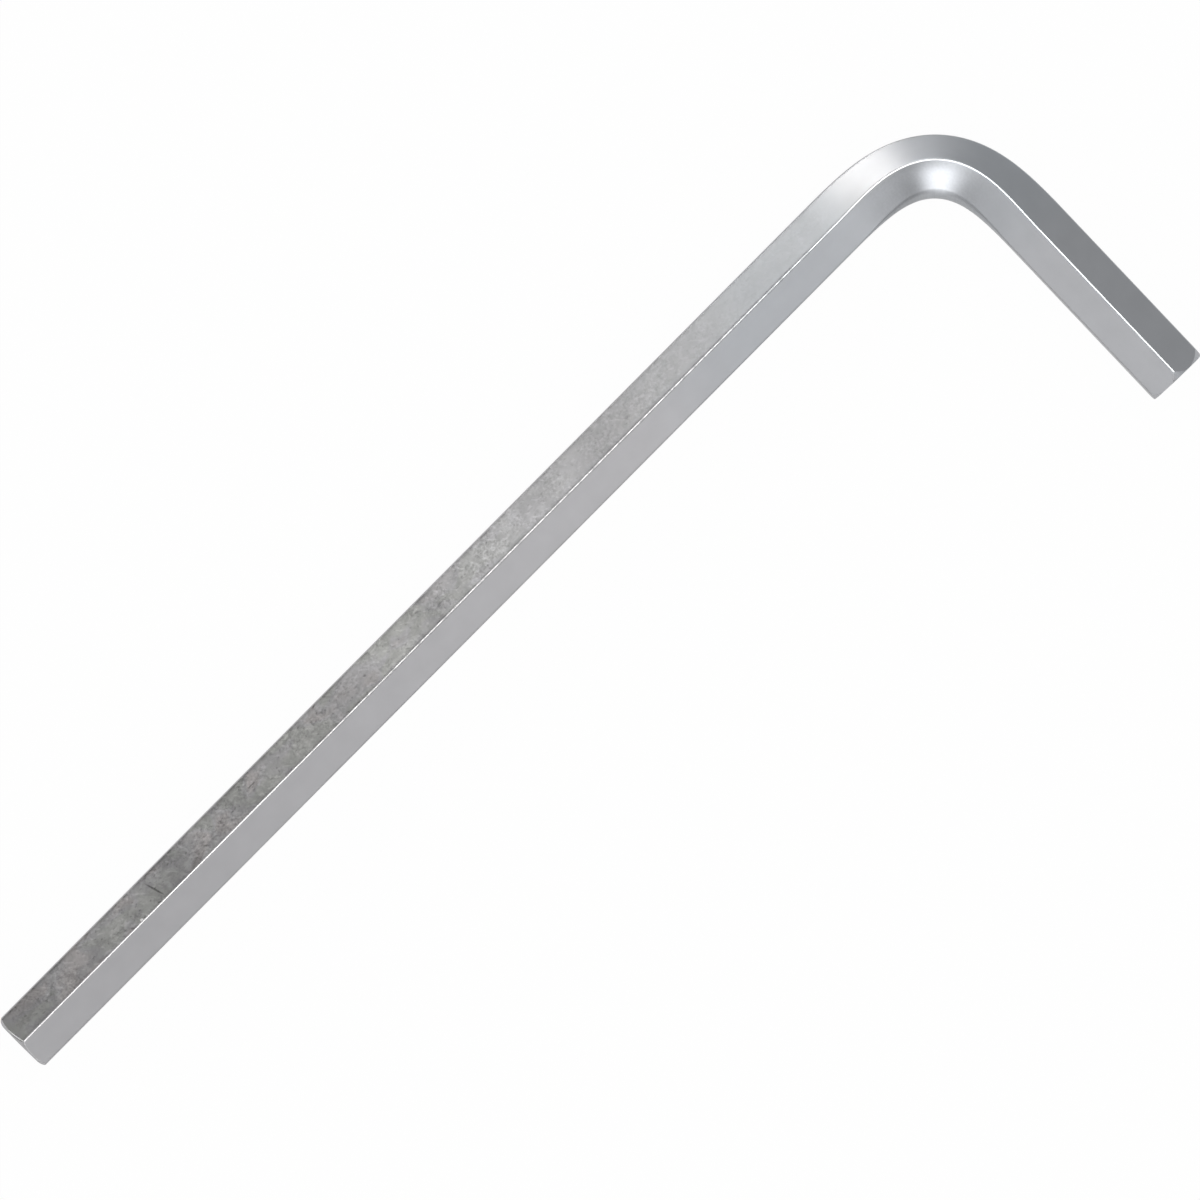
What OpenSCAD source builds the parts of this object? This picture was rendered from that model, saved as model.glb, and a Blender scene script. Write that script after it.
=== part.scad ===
// A hexagonal key: one steel bar with a long arm and a short arm, cold bent a little past square.
// It lies flat on the lower ridge of the bar, with another ridge running along the top.
// X follows the long arm from its tip to the bend, the short arm runs towards -Y, and Z is up.

/* [Bar] */
// Width of the hexagon between two opposite flats
across_flats = 7; // [5:0.5:9]
// Radius on the six long edges of the bar
edge_r = 0.28; // [0.1:0.02:0.5]

/* [Arms] */
// Long arm, from its end face to the crossing of the two centre lines
long_arm = 141.83; // [90:0.01:180]
// Short arm, from its end face to the crossing of the two centre lines
short_arm = 38.36; // [30:0.01:60]

/* [Bend] */
// Angle that the bar is turned through
turn = 91.7; // [80:0.1:105]
// Tightest radius of the centre line, in the middle of the bend
bend_r = 8.45; // [7.5:0.05:12]
// How far the top and bottom ridges move towards the outside of the bend
ridge_shift = 0.42; // [0:0.02:0.7]
// How far the stretched outer corners are drawn in
outer_draw = 0.38; // [0:0.02:0.7]
// How far the squeezed inner flat is pushed inward
inner_bulge = 0.36; // [0:0.02:0.7]
// How far the squeezed inner corners move towards the middle of the bar's height
inner_drop = 0.5; // [0:0.05:0.6]
// Extra radius that the squeezed inner corners take on
inner_soften = 1.95; // [0:0.05:2]
// How far the squeezed inner slopes swell, most of all near the ridge
inner_crown = 0.1; // [0:0.01:0.2]

/* [Long tip] */
// How far the chamfer reaches in from the corners of the hexagon
long_chamfer_in = 0.78; // [0.4:0.02:1.4]
// How far the chamfer runs along the bar at those corners
long_chamfer_run = 0.5; // [0.2:0.05:1.2]
// How far the chamfer sits off the centre line, towards the inner side
long_chamfer_offset = 0.1; // [0:0.01:0.2]
// Rolled-over outer edge of the cropped end, along the bar
long_outer_roll = 0.65; // [0.1:0.05:1.2]
// Rolled-over inner edge of the cropped end, along the bar
long_inner_roll = 0.45; // [0.1:0.05:1.2]
// Depth of both rolled-over edges, across the bar
long_roll_depth = 0.95; // [0.2:0.05:1.5]

/* [Short tip] */
// How far the chamfer reaches in from the corners of the hexagon
short_chamfer_in = 0.52; // [0.3:0.02:1.4]
// How far the chamfer runs along the bar at those corners
short_chamfer_run = 0.88; // [0.2:0.02:1.6]
// How far the chamfer sits off the centre line, towards the inner side
short_chamfer_offset = 0.12; // [0:0.01:0.2]
// Rolled-over outer edge of the cropped end, along the bar
short_outer_roll = 0.35; // [0.1:0.05:1.2]
// Rolled-over inner edge of the cropped end, along the bar
short_inner_roll = 0.1; // [0.1:0.05:1.2]
// Depth of both rolled-over edges, across the bar
short_roll_depth = 0.3; // [0.2:0.05:1.5]

/* [Hidden] */

// Steps along the bend, in each rounded edge, across an inner slope and round a rolled-over edge
bend_steps = 48;
edge_steps = 4;
slope_steps = 6;
roll_steps = 8;
// How far a cutting shape stands clear of the bar
margin = 1;
// How far a rolled-over edge is drawn past the flat, to meet it at a clear angle
crossing = 0.02;

corner_r = across_flats / sqrt(3);
half_flats = across_flats / 2;

function unit(v) = v / norm(v);
function reversed(list) = [for (i = [len(list) - 1:-1:0]) list[i]];

// The bend. Its curvature rises and falls as a smooth bell, so the bar has no sudden corner:
// u runs from -1 where the bend starts, through 0 in its middle, to 1 where it ends.
half_run = turn * PI / 180 * bend_r;
function bell(u) = 1 - 3 * pow(u, 2) + 2 * pow(abs(u), 3);
function heading(u) = -turn * (1 / 2 + u - pow(u, 3) + pow(u, 3) * abs(u) / 2);
function along(angle) = [cos(angle), sin(angle)];
function outward(angle) = [-sin(angle), cos(angle)];
function station(i) = 2 * i / bend_steps - 1;

step_length = 2 * half_run / bend_steps;
centre_line = [
    for (i = 0, p = [0, 0]; i <= bend_steps;
        p = p + step_length * along(heading(station(i + 0.5))), i = i + 1) p
];
bend_end = centre_line[bend_steps];
// From where the bend starts to where the two centre lines cross
tangent_length = norm(bend_end) / 2 / cos(turn / 2);
long_straight = long_arm - tangent_length;
short_straight = short_arm - tangent_length;

// One rounded corner of an outline that runs anticlockwise
function rounded(before, corner, after, r) =
    let (
        to_before = unit(before - corner),
        to_after = unit(after - corner),
        half_angle = acos(to_before * to_after) / 2,
        centre = corner + unit(to_before + to_after) * r / sin(half_angle),
        first = corner + to_before * r / tan(half_angle) - centre,
        start = atan2(first.y, first.x)
    )
    [for (i = [0:edge_steps]) centre + r * along(start + (180 - 2 * half_angle) * i / edge_steps)];

// The bar's section, with x outward from the bend and y up. With w at 0 it is the plain hexagon,
// and with w at 1 it is the section that the middle of the bend is pressed into.
function corners(w) =
    let (
        ridge_x = ridge_shift * w,
        outer_x = half_flats - outer_draw * w,
        outer_y = corner_r / 2,
        inner_x = -half_flats - inner_bulge * w,
        inner_y = corner_r / 2 - inner_drop * w
    )
    [
        [outer_x, -outer_y], [outer_x, outer_y], [ridge_x, corner_r],
        [inner_x, inner_y], [inner_x, -inner_y], [ridge_x, -corner_r]
    ];

function corner_radius(k, w) = edge_r + (k == 3 || k == 4 ? inner_soften * w : 0);

function outline(w) =
    let (c = corners(w))
    [for (k = [0:5]) rounded(c[(k + 5) % 6], c[k], c[(k + 1) % 6], corner_radius(k, w))];

// The slopes between the ridges and the inner corners swell, and the swelling fades at the corners
function swollen(p, w) =
    let (
        ridge = corners(w)[2],
        slope = corners(w)[3] - ridge,
        share = ([p.x, abs(p.y)] - ridge) * slope / (slope * slope),
        swell = inner_crown * w * 27 / 4 * share * pow(1 - share, 2)
    )
    p.x < ridge.x && share > 0 && share < 1
        ? p + [slope.y, -sign(p.y) * slope.x] / norm(slope) * swell
        : p;

// The slopes are divided, so that they can swell
function divided(from, to) = [for (i = [1:slope_steps - 1]) from + (to - from) * i / slope_steps];

function section(w) =
    let (
        o = outline(w),
        slope_above = divided(o[2][edge_steps], o[3][0]),
        slope_below = divided(o[4][edge_steps], o[5][0])
    )
    [for (p = concat(o[0], o[1], o[2], slope_above, o[3], o[4], slope_below, o[5])) swollen(p, w)];

ridge_height = max([for (p = section(0)) p.y]);

// Points are kept to a ten-thousandth, so that the bend and the arms share the same ones
function fine(v) = [for (x = v) round(x * 10000) / 10000];

// One ring of points round the bar at each step of the bend
rings = [
    for (i = [0:bend_steps])
        let (sideways = outward(heading(station(i))))
        [for (p = section(bell(station(i)))) fine([each centre_line[i] + sideways * p.x, p.y])]
];

// A solid skinned over rings of as many points each
module skin(rings) {
    ring_size = len(rings[0]);
    last = len(rings) - 1;
    function at(i, j) = i * ring_size + j % ring_size;
    walls = [
        for (i = [0:last - 1], j = [0:ring_size - 1])
            each [
                [at(i, j), at(i + 1, j + 1), at(i, j + 1)],
                [at(i, j), at(i + 1, j), at(i + 1, j + 1)]
            ]
    ];
    first_face = [for (j = [0:ring_size - 1]) at(0, j)];
    last_face = [for (j = [ring_size - 1:-1:0]) at(last, j)];
    polyhedron(
        points = [for (ring = rings) each ring],
        faces = concat([first_face], walls, [last_face]),
        convexity = 4
    );
}

// The end of an arm, as two shapes that the bar is cut to: the chamfer's cone, and the plan outline
// with its rolled-over edges. Both start at the end face at x = 0 and run along +X, and past the
// tip they are wide enough to hold the rest of the bar.
module chamfer_cone(room, reach, run, offset) {
    end_r = corner_r - reach;
    clear_x = run * (reach + margin) / reach;
    translate([0, -offset, 0])
        rotate([0, 90, 0])
            rotate_extrude($fn = 96)
                polygon([[0, 0], [end_r, 0], [corner_r + margin, clear_x], [room, clear_x], [room, room], [0, room]]);
}

function rolled_edge(side, roll, depth) = [
    for (i = [0:roll_steps])
        let (a = 90 * i / roll_steps)
        [roll * (1 - cos(a)), side * (half_flats + crossing - (depth + crossing) * (1 - sin(a)))]
];

module rolled_outline(room, outer_roll, inner_roll, depth) {
    translate([0, 0, -corner_r - margin])
        linear_extrude(height = 2 * (corner_r + margin))
            polygon(concat(
                rolled_edge(-1, inner_roll, depth),
                [[inner_roll, -room], [room, -room], [room, room], [outer_roll, room]],
                reversed(rolled_edge(1, outer_roll, depth))
            ));
}

module long_arm_bar() {
    room = long_arm + margin;
    translate([-long_straight, 0, 0])
        intersection() {
            rotate([90, 0, 90])
                linear_extrude(height = long_straight)
                    polygon([for (corner = outline(0), p = corner) fine(p)]);
            chamfer_cone(room, long_chamfer_in, long_chamfer_run, long_chamfer_offset);
            rolled_outline(room, long_outer_roll, long_inner_roll, long_roll_depth);
        }
}

// The bend runs on into the short arm, past its end face, and is cut there
short_tip = bend_end + short_straight * along(-turn);

module bend_and_short_arm() {
    way = fine([each (short_straight + margin) * along(-turn), 0]);
    room = short_arm + tangent_length + margin;
    intersection() {
        skin([each rings, [for (p = rings[bend_steps]) p + way]]);
        translate(short_tip)
            rotate(-turn)
                mirror([1, 0, 0])
                    intersection() {
                        chamfer_cone(room, short_chamfer_in, short_chamfer_run, short_chamfer_offset);
                        rolled_outline(room, short_outer_roll, short_inner_roll, short_roll_depth);
                    }
    }
}

// The plan of the key, for its middle: the rings, the long tip and both sides of the short tip
function short_tip_side(side, roll) = [
    for (p = rolled_edge(side, roll, short_roll_depth)) short_tip - p.x * along(-turn) + p.y * outward(-turn)
];
plan = concat(
    [[-long_straight, 0]],
    [for (ring = rings, p = ring) [p.x, p.y]],
    short_tip_side(1, short_outer_roll),
    short_tip_side(-1, short_inner_roll)
);
middle_x = (max([for (p = plan) p.x]) + min([for (p = plan) p.x])) / 2;
middle_y = (max([for (p = plan) p.y]) + min([for (p = plan) p.y])) / 2;

module hex_key() {
    color("silver")
        translate([-middle_x, -middle_y, ridge_height]) {
            long_arm_bar();
            bend_and_short_arm();
        }
}

hex_key();
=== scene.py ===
import math

import bmesh
import bpy
from mathutils import Matrix, Vector


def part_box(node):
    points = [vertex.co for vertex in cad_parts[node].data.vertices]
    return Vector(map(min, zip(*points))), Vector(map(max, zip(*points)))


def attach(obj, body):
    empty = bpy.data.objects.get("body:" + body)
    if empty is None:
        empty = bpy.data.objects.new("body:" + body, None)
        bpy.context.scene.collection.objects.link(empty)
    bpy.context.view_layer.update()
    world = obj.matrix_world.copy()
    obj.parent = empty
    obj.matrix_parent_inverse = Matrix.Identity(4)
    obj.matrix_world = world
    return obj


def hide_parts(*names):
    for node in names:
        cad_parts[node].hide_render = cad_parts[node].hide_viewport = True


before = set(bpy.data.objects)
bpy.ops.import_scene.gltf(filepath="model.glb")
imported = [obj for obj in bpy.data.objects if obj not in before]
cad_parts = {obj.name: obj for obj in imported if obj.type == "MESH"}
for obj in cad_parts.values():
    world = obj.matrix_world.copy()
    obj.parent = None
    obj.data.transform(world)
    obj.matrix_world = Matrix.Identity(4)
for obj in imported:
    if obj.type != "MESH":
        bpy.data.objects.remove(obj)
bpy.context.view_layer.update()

scene = bpy.context.scene
mm = 0.001

# The key is one steel bar of hexagonal section. It is drawn as one ring of points that is
# extruded from tip to tip, and pressed out of shape in the bend. All lengths are millimetres.
bar = {
    "acrossFlats": 7.0,
    "edgeRound": 0.28,      # radius on the six long edges
    "longArm": 141.83,      # end face to the crossing of the centre lines
    "shortArm": 38.36,
    "edgeSteps": 8,         # steps in each rounded edge
    "flatSteps": 8,         # steps across each flat
    "besideEdge": 0.05,     # a line of points this close to each edge keeps the flats flat
    "ringGap": 1.5,         # between rings on the straight arms
}
bend = {
    "turn": 91.7,
    "tightest": 8.45,       # radius of the centre line in the middle of the bend
    "ridgeShift": 0.42,     # ridges move outward
    "outerDraw": 0.38,      # stretched corners are drawn in
    "innerBulge": 0.36,     # squeezed flat moves inward
    "innerDrop": 0.5,       # squeezed corners move towards middle height
    "innerSoften": 1.95,    # squeezed corners turn rounder
    "innerCrown": 0.1,      # squeezed slopes swell, most of all near the ridge
    "rings": 96,
}
longTip = {
    "chamferIn": 0.78, "chamferRun": 0.5, "chamferOffset": 0.1,
    "outerRoll": 0.65, "innerRoll": 0.45, "rollDepth": 0.95,
    "outerBroken": 0.16, "innerBroken": 0.012,   # tiny radius where the bar's sides meet the tip
}
shortTip = {
    "chamferIn": 0.52, "chamferRun": 0.88, "chamferOffset": 0.12,
    "outerRoll": 0.35, "innerRoll": 0.1, "rollDepth": 0.3,
    "outerBroken": 0.03, "innerBroken": 0.012,
}
tipFinish = {
    "firstRing": 1.6,       # first full ring behind the end face
    "behindEdge": 0.05,     # a ring this close behind the broken edge keeps the flats flat
    "brokenGrows": (-0.4, 0.4),     # across the bar: where the broken edge grows broad
    "brokenEnds": (1.3, 2.3),       # and where it turns thin again
    "brokenSteps": 4,
    "overlap": 0.02,        # how far the rolled edges are drawn past the flats
    "crease": 0.05,         # half width of the soft crease where the chamfer ends
    "chamferRings": (0.03, 0.15, 0.35, 0.6, 0.8),   # shares of the way from the edge to the crease
    "creaseReach": 0.985,   # the crease stays inside this share of the bar's outline
    "creaseGap": 0.008,     # and each ring of it this much further in
    "innerRings": (0.955, 0.9, 0.83, 0.74, 0.6),    # shares of the crease's radius
}

cornerR = bar["acrossFlats"] / math.sqrt(3)
halfFlats = bar["acrossFlats"] / 2
halfRun = math.radians(bend["turn"]) * bend["tightest"]
crownScale = 27 / 4         # share * (1 - share) ** 2 is 4/27 where it is highest


# the bend: u runs from -1 at its start, through 0 in its middle, to 1 at its end
def bell(u):
    return 1 - 3 * u ** 2 + 2 * abs(u) ** 3


def heading(u):
    return -math.radians(bend["turn"]) * (0.5 + u - u ** 3 + u ** 3 * abs(u) / 2)


def direction(angle):
    return Vector((math.cos(angle), math.sin(angle), 0))


def outward(angle):
    return Vector((-math.sin(angle), math.cos(angle), 0))


# the centre line through the bend, from where it starts at the origin
stepLength = 2 * halfRun / bend["rings"]
centreLine = [Vector((0, 0, 0))]
for i in range(bend["rings"]):
    halfway = 2 * (i + 0.5) / bend["rings"] - 1
    centreLine.append(centreLine[-1] + stepLength * direction(heading(halfway)))
tangent = centreLine[-1].length / 2 / math.cos(math.radians(bend["turn"]) / 2)
longStraight = bar["longArm"] - tangent
shortStraight = bar["shortArm"] - tangent


def sectionCorners(w):
    # w is 0 for the plain hexagon and 1 for the section in the middle of the bend
    ridgeX = bend["ridgeShift"] * w
    outerX = halfFlats - bend["outerDraw"] * w
    innerX = -halfFlats - bend["innerBulge"] * w
    outerY = cornerR / 2
    innerY = cornerR / 2 - bend["innerDrop"] * w
    return [
        Vector((ridgeX, -cornerR)), Vector((outerX, -outerY)), Vector((outerX, outerY)),
        Vector((ridgeX, cornerR)), Vector((innerX, innerY)), Vector((innerX, -innerY)),
    ]


def roundedCorner(before, corner, after, r):
    toBefore = (before - corner).normalized()
    toAfter = (after - corner).normalized()
    half = math.acos(toBefore.dot(toAfter)) / 2
    centre = corner + (toBefore + toAfter).normalized() * r / math.sin(half)
    first = corner + toBefore * r / math.tan(half) - centre
    start = math.atan2(first.y, first.x)
    sweep = math.pi - 2 * half
    steps = bar["edgeSteps"]
    angles = [start + sweep * k / steps for k in range(steps + 1)]
    return [centre + r * Vector((math.cos(a), math.sin(a))) for a in angles]


def section(w):
    corners = sectionCorners(w)
    rounds = []
    for k in range(6):
        r = bar["edgeRound"] + (bend["innerSoften"] * w if k > 3 else 0)
        rounds.append(roundedCorner(corners[k - 1], corners[k], corners[(k + 1) % 6], r))
    points = []
    for k in range(6):
        points += rounds[k]
        start, end = rounds[k][-1], rounds[(k + 1) % 6][0]
        beside = bar["besideEdge"] / (end - start).length
        steps = bar["flatSteps"]
        shares = [beside] + [j / steps for j in range(1, steps)] + [1 - beside]
        points += [start.lerp(end, t) for t in shares]
    ridge = corners[3]
    slope = corners[4] - ridge
    for p in points:
        # the squeezed slope swells, fading out at the corner below it
        share = (Vector((p.x, abs(p.y))) - ridge).dot(slope) / slope.length_squared
        if p.x < ridge.x and 0 < share < 1:
            swell = bend["innerCrown"] * w * crownScale * share * (1 - share) ** 2
            p += Vector((slope.y, -slope.x if p.y > 0 else slope.x)) / slope.length * swell
    return points


plainSection = section(0)
ringSize = len(plainSection)
# distance round the bar, from the middle of the lower ridge, for the pattern's own coordinates
middle = bar["edgeSteps"] // 2
aroundBar = [0.0]
for k in range(middle, middle + ringSize):
    step = plainSection[(k + 1) % ringSize] - plainSection[k % ringSize]
    aroundBar.append(aroundBar[-1] + step.length)


def bendPlace(s):
    # s runs along the bar from the start of the bend, and is below 0 on the long arm
    return min(max(s / halfRun - 1, -1), 1)


def barPoint(s, p):
    if s <= 0:
        base = Vector((s, 0, 0))
    elif s >= 2 * halfRun:
        base = centreLine[-1] + (s - 2 * halfRun) * direction(heading(1))
    else:
        place = s / stepLength
        i = min(int(place), bend["rings"] - 1)
        base = centreLine[i].lerp(centreLine[i + 1], place - i)
    return base + outward(heading(bendPlace(s))) * p.x + Vector((0, 0, p.y))


def tipDepth(tip, p):
    # how far the tip's surface lies behind the end face at the point p of the section
    slope = tip["chamferRun"] / tip["chamferIn"]
    beyond = (p + Vector((tip["chamferOffset"], 0))).length - (cornerR - tip["chamferIn"])
    soft = tipFinish["crease"]
    if beyond <= -soft:
        cone = 0.0
    elif beyond < soft:
        cone = (beyond + soft) ** 2 / (4 * soft)
    else:
        cone = beyond
    roll = 0.0
    for side, reach in ((1, tip["outerRoll"]), (-1, tip["innerRoll"])):
        inside = halfFlats + tipFinish["overlap"] - side * p.x
        share = 1 - inside / (tip["rollDepth"] + tipFinish["overlap"])
        if share > 0:
            roll = max(roll, reach * (1 - math.sqrt(max(0.0, 1 - share ** 2))))
    return max(cone * slope, roll)


def smooth(value, low, high):
    share = min(max((value - low) / (high - low), 0), 1)
    return share ** 2 * (3 - 2 * share)


def brokenEdge(tip, p):
    # broadest on the outer side of the upper and lower ridges
    share = smooth(p.x, *tipFinish["brokenGrows"]) * (1 - smooth(p.x, *tipFinish["brokenEnds"]))
    return tip["innerBroken"] + (tip["outerBroken"] - tip["innerBroken"]) * share


def tipRings(tip):
    # rings over one end, from the bar's side to near its middle, as (point, depth) pairs
    centre = Vector((-tip["chamferOffset"], 0))
    behind = tipFinish["behindEdge"]
    rings = [[(p, tipDepth(tip, p) + brokenEdge(tip, p) + behind) for p in plainSection]]
    for k in range(tipFinish["brokenSteps"] + 1):
        angle = math.pi / 2 * k / tipFinish["brokenSteps"]
        ring = []
        for p in plainSection:
            soft = brokenEdge(tip, p)
            q = p - (p - centre).normalized() * soft * (1 - math.cos(angle))
            ring.append((q, tipDepth(tip, q) + soft * (1 - math.sin(angle))))
        rings.append(ring)
    ways = [q - centre for q, depth in rings[-1]]
    outer = [way.length for way in ways]

    def addRing(radii):
        points = [centre + way.normalized() * r for way, r in zip(ways, radii)]
        rings.append([(point, tipDepth(tip, point)) for point in points])

    endR = cornerR - tip["chamferIn"]
    crease, reach = tipFinish["crease"], tipFinish["creaseReach"]
    circles = [endR + crease, endR + crease / 2, endR, endR - crease / 2, endR - crease]
    for share in tipFinish["chamferRings"]:
        addRing([far + (min(circles[0], far * reach) - far) * share for far in outer])
    for n, circle in enumerate(circles):
        addRing([min(circle, far * (reach - tipFinish["creaseGap"] * n)) for far in outer])
    for share in tipFinish["innerRings"]:
        addRing([circles[-1] * share] * ringSize)
    return rings


def addObject(name, data):
    made = bpy.data.objects.new(name, data)
    scene.collection.objects.link(made)
    return made


def makeKey():
    bm = bmesh.new()
    placeLayer = bm.verts.layers.int.new("place")
    alongLayer = bm.verts.layers.float.new("along")
    endLayer = bm.verts.layers.float.new("endFace")
    made = bmesh.ops.create_circle(bm, cap_ends=False, segments=ringSize, radius=cornerR)
    for k, vert in enumerate(made["verts"]):
        vert[placeLayer] = k
    firstRing = list(bm.edges)

    def setRing(edges, points, along, endFace=0.0):
        for vert in {v for e in edges for v in e.verts}:
            k = vert[placeLayer]
            vert.co = points[k]
            vert[alongLayer] = along[k]
            vert[endLayer] = endFace

    def nextRing(edges):
        grown = bmesh.ops.extrude_edge_only(bm, edges=edges)["geom"]
        verts = {g for g in grown if isinstance(g, bmesh.types.BMVert)}
        edges = [g for g in grown if isinstance(g, bmesh.types.BMEdge)]
        return [e for e in edges if verts.issuperset(e.verts)]

    def barRing(edges, s):
        w = bell(bendPlace(s))
        shape = section(w) if w > 0 else plainSection
        setRing(edges, [barPoint(s, p) for p in shape], [s + longStraight] * ringSize)

    def tipRing(edges, ring, longEnd, endFace):
        if longEnd:
            stations = [depth - longStraight for q, depth in ring]
        else:
            stations = [2 * halfRun + shortStraight - depth for q, depth in ring]
        points = [barPoint(s, q) for s, (q, depth) in zip(stations, ring)]
        setRing(edges, points, [s + longStraight for s in stations], endFace)

    # along the bar, from the long tip's edge to the short tip's edge
    longRings, shortRings = tipRings(longTip), tipRings(shortTip)
    tipRing(firstRing, longRings[0], True, 0.0)
    first = tipFinish["firstRing"] - longStraight
    count = max(1, round(-first / bar["ringGap"]))
    stations = [first - first * k / count for k in range(count)]
    stations += [stepLength * k for k in range(bend["rings"])]
    last = 2 * halfRun + shortStraight - tipFinish["firstRing"]
    count = max(1, round((last - 2 * halfRun) / bar["ringGap"]))
    stations += [2 * halfRun + (last - 2 * halfRun) * k / count for k in range(count + 1)]
    ring = firstRing
    for s in stations:
        ring = nextRing(ring)
        barRing(ring, s)
    ring = nextRing(ring)
    tipRing(ring, shortRings[0], False, 0.0)

    # over each end, where the end face starts at the top of the broken edge
    for edge, rings, longEnd in ((firstRing, longRings, True), (ring, shortRings, False)):
        for n, points in enumerate(rings[1:]):
            edge = nextRing(edge)
            tipRing(edge, points, longEnd, 1.0 if n >= tipFinish["brokenSteps"] else 0.0)
        bmesh.ops.edgeloop_fill(bm, edges=edge)
    bmesh.ops.recalc_face_normals(bm, faces=bm.faces)

    # the pattern's coordinates: along the bar and round it, in metres
    uv = bm.loops.layers.uv.new("barRoll")
    for face in bm.faces:
        face.smooth = True
        places = {v[placeLayer] for v in face.verts}
        seam = middle in places and (middle - 1) % ringSize in places
        for loop in face.loops:
            k = (loop.vert[placeLayer] - middle) % ringSize
            around = aroundBar[ringSize] if seam and k == 0 else aroundBar[k]
            loop[uv].uv = (loop.vert[alongLayer] * mm, around * mm)

    # into the CAD node's box
    bmesh.ops.scale(bm, verts=bm.verts, vec=(mm, mm, mm))
    low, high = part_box("hex_key")
    lowest = [min(v.co[a] for v in bm.verts) for a in range(3)]
    highest = [max(v.co[a] for v in bm.verts) for a in range(3)]
    shift = Vector([(low[a] + high[a] - lowest[a] - highest[a]) / 2 for a in range(3)])
    bmesh.ops.translate(bm, verts=bm.verts, vec=shift)
    differs = [highest[a] - lowest[a] - (high[a] - low[a]) for a in range(3)]
    print("hex key: rings of", ringSize, "points,", len(bm.faces), "faces")
    print("moved by", [round(x / mm, 3) for x in shift])
    print("box differs by", [round(x / mm, 4) for x in differs])

    mesh = bpy.data.meshes.new("hexKey")
    bm.to_mesh(mesh)
    bm.free()
    return addObject("hexKey", mesh)


class Wire:
    # an output socket that can be used in sums
    def __init__(self, tree, socket):
        self.tree, self.socket = tree, socket

    def maths(self, operation, *values):
        settings = {"operation": operation}
        return addNode(self.tree, "ShaderNodeMath", settings, dict(enumerate(values)))[0]

    def __add__(self, other):
        return self.maths("ADD", self, other)

    def __radd__(self, other):
        return self.maths("ADD", other, self)

    def __sub__(self, other):
        return self.maths("SUBTRACT", self, other)

    def __rsub__(self, other):
        return self.maths("SUBTRACT", other, self)

    def __mul__(self, other):
        return self.maths("MULTIPLY", self, other)

    def __rmul__(self, other):
        return self.maths("MULTIPLY", other, self)

    def __truediv__(self, other):
        return self.maths("DIVIDE", self, other)

    def __abs__(self):
        return self.maths("ABSOLUTE", self)

    def __pow__(self, other):
        return self.maths("POWER", self, other)

    def rise(self, low, high):
        # 0 below low, 1 above high, smooth between
        return addNode(self.tree, "ShaderNodeMapRange", {"interpolation_type": "SMOOTHSTEP"},
                       {"Value": self, "From Min": low, "From Max": high})[0]


def addNode(tree, kind, settings=None, sockets=None):
    node = tree.nodes.new(kind)
    for name, value in (settings or {}).items():
        setattr(node, name, value)
    for key, value in (sockets or {}).items():
        socket = node.inputs[key]
        if isinstance(value, Wire):
            tree.links.new(value.socket, socket)
        else:
            socket.default_value = value
    return [Wire(tree, out) for out in node.outputs if out.enabled]


def newMaterial(name):
    material = bpy.data.materials.new(name)
    material.use_nodes = True
    material.node_tree.nodes.clear()
    return material, material.node_tree


# The finish is laid out along and around the bar, in millimetres. Along is 0 in the middle of
# the bend and below 0 on the long arm. Around is 0 on the upper ridge and above 0 on the outer
# side. A stretch is (from, to, softness), and None leaves an end open. In a list, a fourth number
# is what the stretch adds. A tone is how much lighter or darker a place is than plain steel.
steel = {
    "plain": (0.558, 0.555, 0.572, 1),      # clean plating
    "cool": (0.533, 0.561, 0.597, 1),       # bluer plating round the bend
    "coolness": [(-37.0, None, 9.0, 0.65), (13.0, None, 5.0, -0.33)],
    "outerCoolness": [                      # added on the outer side
        (1.5, None, 3.5, 0.35), (-37.0, -28.0, 4.0, -0.25), (-11.0, -3.0, 2.5, -0.4),
    ],
    "roughness": 0.33,
    "endRoughness": 0.42,
    "faintClouds": 0.09,                    # slight unevenness outside the worn flat
    "innerSide": (None, -0.25, 0.15),
    # painted shade on the inner side: darker along the long arm, before the bend and beside the
    # bright spot
    "innerPaintedShade": [
        (None, -41.0, 5.0, -0.025),
        (-38.0, -15.0, 4.0, -0.06),         # darker before the bend
        (-9.5, -3.0, 1.8, -0.13),           # painted shade beside the bright spot, on the long arm's side
        # painted shade beside the bright spot, on the short arm's side
        (5.0, 10.5, 2.0, -0.065),
    ],
    "spotSpecks": [(-9.0, 7.0, 3.0, 0.15)],     # round the bright spot
}
# the outer upper flat of the long arm is worn up to the bend, with ever fainter grain, and painted
# darker towards the tip, partly as shade
wearAndShade = {
    "across": (0.12, 3.95, 0.1),
    "length": (None, -13.25, 2.75),
    "strength": [
        (None, None, 0.0, 0.82), (-76.0, -62.0, 4.0, 0.15),
        (-56.0, None, 6.0, -0.28), (-34.0, None, 10.0, -0.35),
    ],
    "tone": [
        (None, None, 0.0, -0.17),
        (-87.0, -51.5, 3.0, 0.14),          # lighter in its middle
        # darker towards the tip: partly wear, partly painted shade where less of the lamps' light
        # is mirrored
        (None, -132.0, 4.0, -0.08), (None, -99.0, 4.0, -0.08), (None, -72.0, 4.0, -0.07),
    ],
    "edgeTone": [(None, 0.35, 0.25, -0.15), (3.7, None, 0.2, -0.21)],
    "roughness": 0.4,
    "bump": {"Strength": 0.25, "Distance": 0.02 * mm},
}
# its grain, mixed from the layers below
grain = {
    "clouds": 0.4, "blotches": 0.35, "plates": 0.1,
    "crumbs": 0.17, "specks": 0.65, "betweenPatches": 0.45,
    "lightFlecks": 0.24, "darkSpots": 0.32,
    "plateCut": (-0.03, 0.03),              # plates are blotches with crisp edges
    "start": [(-137.85, None, 1.35, 1.0)],
    "nearTip": [(None, None, 0.0, 0.72), (-133.0, None, 3.0, 0.28)],
    "contrast": 0.7,
    "roughness": 0.1,
}
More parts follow.
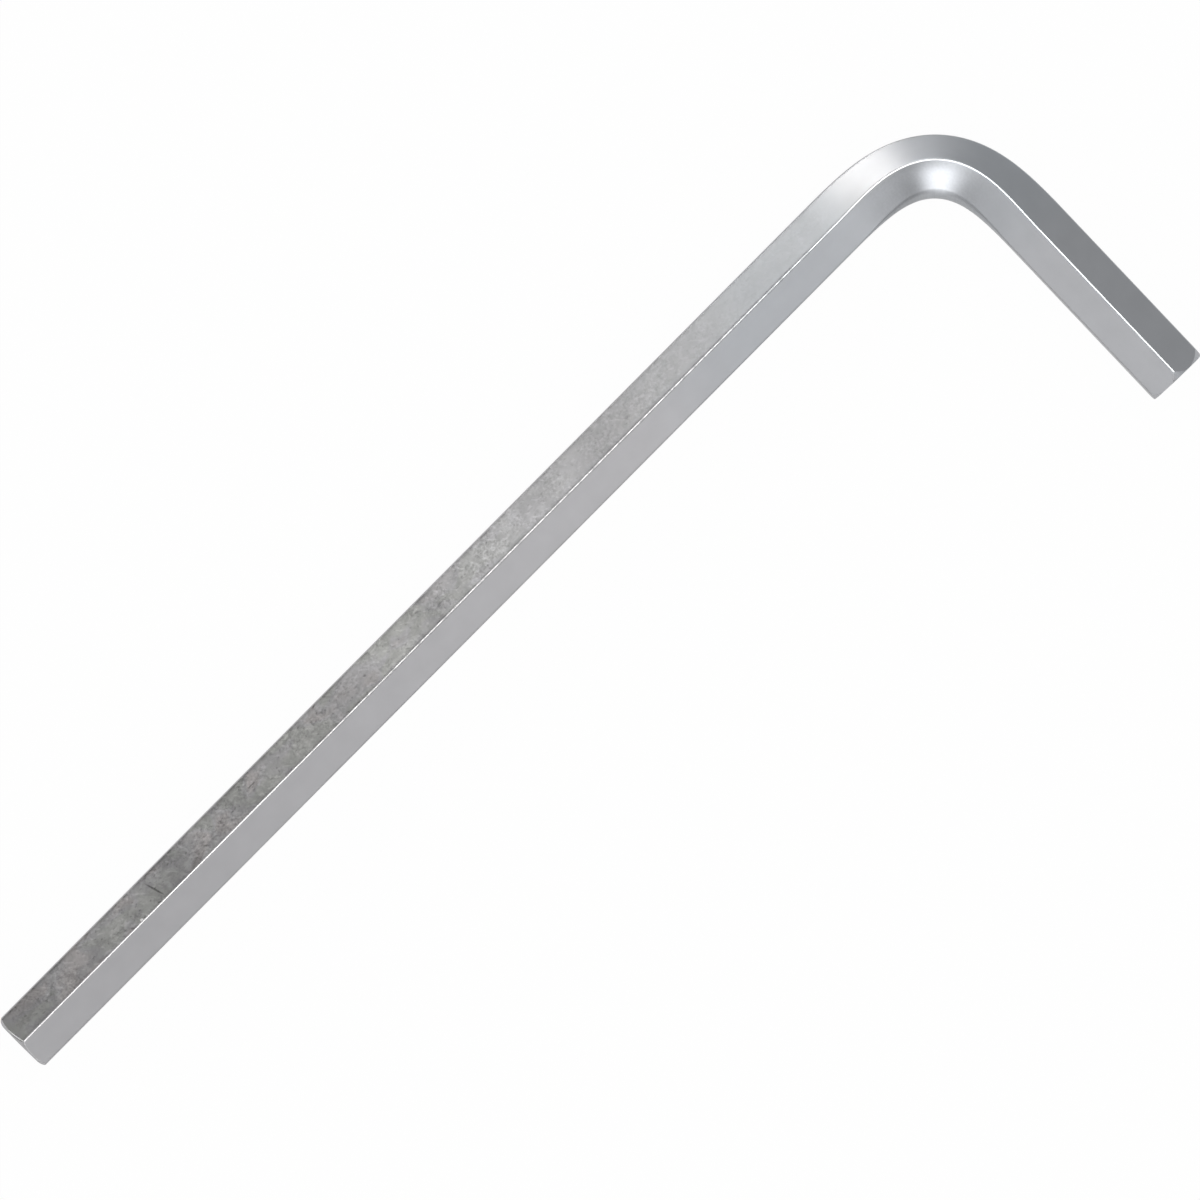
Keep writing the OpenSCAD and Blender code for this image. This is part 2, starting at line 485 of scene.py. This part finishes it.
# layers of noise: forms to a millimetre, the share of that along the bar, detail, distortion,
# and a shift that keeps two layers from agreeing. A cut layer goes from 0 to 1 between its two
# values, and a slanting one runs askew over the bar.
layers = {
    "clouds": {"perMm": 0.22, "alongShare": 0.7, "detail": 1.0},
    "patches": {"perMm": 0.3, "shift": 90.0, "cut": (-0.12, 0.12)},
    "blotches": {"perMm": 0.55, "detail": 4.0, "distortion": 0.9},
    "crumbs": {"perMm": 1.5, "shift": 17.0, "distortion": 0.6, "cut": (-0.07, 0.07)},
    "specks": {"perMm": 3.2, "shift": 31.0},
    "darkSpots": {
        "perMm": 2.2, "alongShare": 0.8, "shift": 7.0, "detail": 1.0, "cut": (0.17, 0.3),
    },
    "lightFlecks": {
        "perMm": 1.8, "slanting": 0.5, "shift": 13.0, "detail": 0.0, "cut": (0.17, 0.32),
    },
    "longBreaks": {"perMm": 0.7, "detail": 3.0, "cut": (-0.1, 0.14)},
    "shortBreaks": {"perMm": 2.0, "shift": 60.0, "cut": (-0.02, 0.12)},
    "faintClouds": {"perMm": 0.35},
    "stains": {
        "perMm": 0.35, "alongShare": 0.6, "shift": 50.0, "detail": 1.0, "distortion": 0.5,
    },
}
# single marks and broad stains on it, and one painted glint, with their reach along and around
marksAndGlint = [
    {"along": -117.05, "around": 1.8, "reach": (0.13, 1.3), "slant": -0.25, "tone": -0.34},
    {"along": -121.6, "around": 1.3, "reach": (0.8, 0.45), "slant": 0.6, "tone": 0.13},
    # a painted glint: the nick beside the ridge, painted bright as if catching the light
    {"along": -120.4, "around": 0.26, "reach": (0.2, 0.2), "slant": 0.0, "tone": 1.1},
    {"along": -106.9, "around": 1.95, "reach": (0.28, 0.26), "slant": 0.0, "tone": -0.2},
    {"along": -101.6, "around": 2.4, "reach": (0.5, 0.1), "slant": 0.0, "tone": -0.25},
    {"along": -84.4, "around": 2.0, "reach": (0.22, 0.18), "slant": 0.0, "tone": -0.25},
    {"along": -122.0, "around": 2.0, "reach": (4.5, 4.0), "slant": 0.0, "tone": 0.07},
    {"along": -106.0, "around": 2.2, "reach": (5.0, 4.0), "slant": 0.0, "tone": 0.045},
    {"along": -115.5, "around": 2.2, "reach": (3.5, 3.0), "slant": 0.4, "tone": -0.05},
    {"along": -72.0, "around": 2.2, "reach": (6.0, 4.5), "slant": 0.3, "tone": -0.05},
]
markFades = (0.5, 1.25)     # the shares of its reach where a mark starts and ends fading
# brown and greenish tints on it, in patches, brown most of all near the tip
stains = {
    "brown": (0.6, 0.55, 0.53, 1),
    "brownAll": 0.1,
    "brownPatches": 0.45,
    "brownCut": (0.0, 0.15),
    "brownAlong": [(None, None, 0.0, 1.0), (-77.0, None, 21.0, -0.9)],
    "green": (0.56, 0.57, 0.535, 1),
    "greenPatches": 0.65,
    "greenCut": (-0.14, 0.02),
    "browner": [(None, None, 0.0, 0.07), (-121.5, None, 8.5, -0.12)],   # turns patches brown
    "strength": [(None, None, 0.0, 1.0), (-70.0, None, 12.0, -0.8)],
}
# the ridge is painted darker along the middle of the long arm, as shade over its bright line,
# which is also broken where the grain runs over it
ridgeLine = {
    "around": 0.02,
    "fades": (0.1, 0.3),                    # to both sides
    "dimmedStretch": (-96.0, -14.0, 8.0),
    # painted shade over the bright line all along that stretch
    "thinner": 0.15,
    "breaks": 0.1,
    "shortBreaks": 0.8,
    "breakRoughness": 0.12,
    "beside": (0.12, 0.38, 0.05),           # a slightly darker strip along its outer side
    "besideDarker": 0.03,
    "besideSpecks": 0.3,
}


def makeSteel():
    material, tree = newMaterial("satinSteel")
    place = addNode(tree, "ShaderNodeUVMap", {"uv_map": "barRoll"})[0]
    u, v = addNode(tree, "ShaderNodeSeparateXYZ", {}, {"Vector": place})[:2]
    along = u * (1 / mm) - (longStraight + halfRun)
    around = aroundBar[ringSize] / 2 - v * (1 / mm)
    endFace = addNode(tree, "ShaderNodeAttribute", {"attribute_name": "endFace"})[2]

    def within(value, start, end, soft):
        inside = 1.0
        if start is not None:
            inside = value.rise(start - soft, start + soft)
        if end is not None:
            inside = inside * (1.0 - value.rise(end - soft, end + soft))
        return inside

    def total(value, rows):
        amount = 0.0
        for start, end, soft, share in rows:
            amount = amount + within(value, start, end, soft) * share
        return amount

    def noise(name):
        # centred on 0 and mostly between -0.3 and 0.3, unless it is cut
        layer = {"alongShare": 1.0, "shift": 0.0, "detail": 2.0, "distortion": 0.0, **layers[name]}
        if "slanting" in layer:
            x, y = along + around, (along - around) * layer["slanting"] + layer["shift"]
        else:
            x, y = along * layer["alongShare"] + layer["shift"], around
        value = addNode(tree, "ShaderNodeTexNoise", {"noise_dimensions": "2D"}, {
            "Vector": addNode(tree, "ShaderNodeCombineXYZ", {}, {"X": x, "Y": y})[0],
            "Scale": layer["perMm"], "Detail": layer["detail"], "Distortion": layer["distortion"],
        })[0] - 0.5
        return value.rise(*layer["cut"]) if "cut" in layer else value

    def mixed(share, first, second):
        return addNode(tree, "ShaderNodeMix", {"data_type": "RGBA"}, {
            0: share, 6: first, 7: second,
        })[0]

    flat = within(around, *wearAndShade["across"]) * within(along, *wearAndShade["length"]) * (1.0 - endFace)
    worn = flat * total(along, wearAndShade["strength"])
    inner = within(around, *steel["innerSide"])

    specks, blotches = noise("specks"), noise("blotches")
    plates = blotches.rise(*grain["plateCut"]) - 0.5
    crumbs = noise("crumbs") - 0.5
    fine = crumbs * grain["crumbs"] + specks * grain["specks"]
    fine = fine * (grain["betweenPatches"] + noise("patches"))
    pattern = noise("clouds") * grain["clouds"] + blotches * grain["blotches"]
    pattern = pattern + plates * grain["plates"] + fine
    pattern = pattern + noise("lightFlecks") * grain["lightFlecks"]
    pattern = pattern - noise("darkSpots") * grain["darkSpots"]
    pattern = pattern * total(along, grain["start"]) * total(along, grain["nearTip"])

    # painted shade is in both tones here: the worn flat's towards the tip, and the inner side's
    tone = 1.0 + flat * total(along, wearAndShade["tone"]) + inner * total(along, steel["innerPaintedShade"])
    tone = tone + worn * (pattern * grain["contrast"] + total(around, wearAndShade["edgeTone"]))
    tone = tone + (1.0 - worn) * noise("faintClouds") * steel["faintClouds"]
    tone = tone + inner * specks * total(along, steel["spotSpecks"])
    # marks and stains, and one painted glint
    for mark in marksAndGlint:
        y = around - mark["around"]
        x = along - mark["along"] - y * mark["slant"]
        far = ((x / mark["reach"][0]) ** 2.0 + (y / mark["reach"][1]) ** 2.0) ** 0.5
        tone = tone + (1.0 - far.rise(*markFades)) * flat * mark["tone"]

    line = 1.0 - abs(around - ridgeLine["around"]).rise(*ridgeLine["fades"])
    dimmedStretch = within(along, *ridgeLine["dimmedStretch"])
    broken = (noise("longBreaks") + noise("shortBreaks") * ridgeLine["shortBreaks"]) * dimmedStretch
    beside = within(around, *ridgeLine["beside"]) * dimmedStretch
    # painted shade over the ridge's bright line, broken by the grain
    tone = tone - line * (dimmedStretch * ridgeLine["thinner"] + broken * ridgeLine["breaks"])
    tone = tone - beside * (ridgeLine["besideDarker"] + specks * ridgeLine["besideSpecks"])

    stain = noise("stains") + total(along, stains["browner"])
    brown = stains["brownAll"] + stain.rise(*stains["brownCut"]) * stains["brownPatches"]
    brown = brown * total(along, stains["brownAlong"])
    green = (1.0 - stain.rise(*stains["greenCut"])) * stains["greenPatches"]
    stained = worn * total(along, stains["strength"])
    coolness = total(along, steel["outerCoolness"]) * (1.0 - inner)
    coolness = coolness + total(along, steel["coolness"])
    colour = mixed(coolness, steel["plain"], steel["cool"])
    colour = mixed(brown * stained, colour, stains["brown"])
    colour = mixed(green * stained, colour, stains["green"])
    colour = addNode(tree, "ShaderNodeVectorMath", {"operation": "SCALE"}, {
        0: colour, "Scale": tone,
    })[0]

    plain = steel["roughness"]
    roughness = plain + worn * (pattern * grain["roughness"] + (wearAndShade["roughness"] - plain))
    roughness = roughness + endFace * (steel["endRoughness"] - plain)
    roughness = roughness + line * broken * ridgeLine["breakRoughness"]
    bump = addNode(tree, "ShaderNodeBump", {}, {**wearAndShade["bump"], "Height": worn * pattern})[0]
    shader = addNode(tree, "ShaderNodeBsdfPrincipled", {}, {
        "Base Color": colour, "Metallic": 1.0, "Roughness": roughness, "Normal": bump,
    })[0]
    addNode(tree, "ShaderNodeOutputMaterial", {}, {"Surface": shader})
    return material


key = makeKey()
key.data.materials.append(makeSteel())
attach(key, "root")
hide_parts("hex_key")
print("key made and finished")


view = {
    "target": (6.52 * mm, 6.77 * mm, 4.0 * mm),
    "turn": 45.187, "tiltX": 0.545, "tiltY": 1.013,
    "distance": 2.5618, "width": 0.13101,   # metres; the width is the picture's, at the target
    "sensor": 36,
    "clip": (0.1, 20),
}
studio = {
    "floorSize": 4.0,
    "floorShade": 0.5,
    "floorGlow": 0.98,      # how much of it is plain white to the camera: the shadow stays faint
    "floorShine": 0.2,      # and how much of it is, where the steel mirrors it
    "ambient": 0.55,        # the room's light on everything that doesn't mirror it
    "room": 0.375,          # and the room as the steel mirrors it, darker on one side
    "darkSide": {"azimuth": 295.5, "height": 32, "reach": 19, "share": 0.58},
}
# azimuth is read in the picture, 0 to its right and 90 to its top, and sizes are metres
lamps = {
    "outerBox": {
        "azimuth": 125.8, "height": 26.7, "glow": 5.25, "size": (0.173, 0.061),
        "colour": (1.015, 1.005, 0.965),
    },
    "outerFill": {"azimuth": 97.7, "height": 32.5, "glow": 3.8, "size": (0.252, 0.083)},
    "innerBox": {"azimuth": 268.0, "height": 27.9, "glow": 3.45, "size": (0.26, 0.119)},
    "innerLow": {"azimuth": 265.0, "height": 5.8, "glow": 1.4, "size": (0.186, 0.067)},
    "innerHigh": {"azimuth": 256.1, "height": 51.9, "glow": 1.72, "size": (0.13, 0.177)},
    "innerLeft": {"azimuth": 226.7, "height": 34.5, "glow": 1.45, "size": (0.06, 0.144)},
    "innerRight": {"azimuth": 315.8, "height": 32.1, "glow": 1.02, "size": (0.26, 0.135)},
    "outerLow": {"azimuth": 120, "height": 6, "glow": 5.0, "size": (0.14, 0.075)},
    "tipBox": {"azimuth": 184, "height": 16, "glow": 6.5, "size": (0.14, 0.14)},
    "overhead": {
        "azimuth": 0, "height": 90, "glow": 4.4, "size": (0.32, 0.32), "colour": (1.01, 1.0, 0.96),
    },
}
lampPlace = {"aim": Vector((60, 5, 4)) * mm, "distance": 0.45, "colour": (1, 1, 1)}
upward = Vector((0, 0, 1))


def pictureAxes():
    turn = math.radians(view["turn"])
    across, along = math.cos(turn), math.sin(turn)
    return Vector((across, -along, 0)), Vector((along, across, 0))


def pictureDirection(azimuth, height):
    right, up = pictureAxes()
    azimuth, height = math.radians(azimuth), math.radians(height)
    level = right * math.cos(azimuth) + up * math.sin(azimuth)
    return level * math.cos(height) + upward * math.sin(height)


def rays(tree):
    # 1 where the camera looks straight at a surface, and 1 where metal or glass shows it
    kinds = {wire.socket.name: wire for wire in addNode(tree, "ShaderNodeLightPath")}
    metal, glass = kinds["Is Glossy Ray"], kinds["Is Transmission Ray"]
    return kinds["Is Camera Ray"], metal.maths("MAXIMUM", metal, glass)


def makeFloor():
    bm = bmesh.new()
    bmesh.ops.create_grid(bm, x_segments=1, y_segments=1, size=studio["floorSize"] / 2)
    mesh = bpy.data.meshes.new("paleFloor")
    bm.to_mesh(mesh)
    bm.free()
    floor = addObject("paleFloor", mesh)
    material, tree = newMaterial("palePaper")
    shade = studio["floorShade"]
    paper = addNode(tree, "ShaderNodeBsdfDiffuse", {}, {"Color": (shade, shade, shade, 1)})[0]
    white = addNode(tree, "ShaderNodeEmission", {}, {"Color": (1, 1, 1, 1), "Strength": 1.0})[0]
    straight, mirrored = rays(tree)
    glow, shine = straight * studio["floorGlow"], mirrored * studio["floorShine"]
    share = glow.maths("MAXIMUM", glow, shine)
    both = addNode(tree, "ShaderNodeMixShader", {}, {0: share, 1: paper, 2: white})[0]
    addNode(tree, "ShaderNodeOutputMaterial", {}, {"Surface": both})
    mesh.materials.append(material)


def makeRoom():
    world = bpy.data.worlds.new("paleRoom")
    scene.world = world
    world.use_nodes = True
    tree = world.node_tree
    tree.nodes.clear()
    straight, mirrored = rays(tree)
    dark = studio["darkSide"]
    way = addNode(tree, "ShaderNodeTexCoord")[0]
    facing = addNode(tree, "ShaderNodeVectorMath", {"operation": "DOT_PRODUCT"}, {
        0: way, 1: pictureDirection(dark["azimuth"], dark["height"]),
    })[0]
    apart = facing.maths("ARCCOSINE", facing) / math.radians(dark["reach"])
    shade = 1.0 - dark["share"] * apart.maths("EXPONENT", apart * apart * -1.0)
    level = mirrored * (studio["room"] * shade - studio["ambient"]) + studio["ambient"]
    level = level * (1 - straight) + straight
    back = addNode(tree, "ShaderNodeBackground", {}, {"Color": (1, 1, 1, 1), "Strength": level})[0]
    addNode(tree, "ShaderNodeOutputWorld", {}, {"Surface": back})


def makeLamps():
    for name, own in lamps.items():
        lamp = {**lampPlace, **own}
        width, height = lamp["size"]
        data = bpy.data.lights.new(name, "AREA")
        data.shape = "ELLIPSE"
        data.size, data.size_y = width, height
        data.color = lamp["colour"]
        # so that glow is how bright the lamp looks, at any size
        data.energy = lamp["glow"] * math.pi * (math.pi / 4 * width * height)
        made = addObject(name, data)
        back = pictureDirection(lamp["azimuth"], lamp["height"])
        made.location = lamp["aim"] + back * lamp["distance"]
        made.rotation_euler = back.to_track_quat("Z", "Y").to_euler()
        made.visible_camera = False


def makeCamera():
    right, up = pictureAxes()
    tiltX, tiltY = math.radians(view["tiltX"]), math.radians(view["tiltY"])
    over = math.sin(tiltX) * up + math.cos(tiltX) * upward
    camRight = math.cos(tiltY) * right + math.sin(tiltY) * over
    camUp = math.cos(tiltX) * up - math.sin(tiltX) * upward
    camBack = camRight.cross(camUp)
    data = bpy.data.cameras.new("overheadCamera")
    data.sensor_width = view["sensor"]
    data.lens = view["distance"] * view["sensor"] / view["width"]
    data.clip_start, data.clip_end = view["clip"]
    camera = addObject("overheadCamera", data)
    matrix = Matrix((camRight, camUp, camBack)).transposed().to_4x4()
    matrix.translation = Vector(view["target"]) + camBack * view["distance"]
    camera.matrix_world = matrix
    scene.camera = camera


makeFloor()
makeRoom()
makeLamps()
makeCamera()
scene.view_settings.view_transform = "Standard"
print("floor, lamps and camera set")
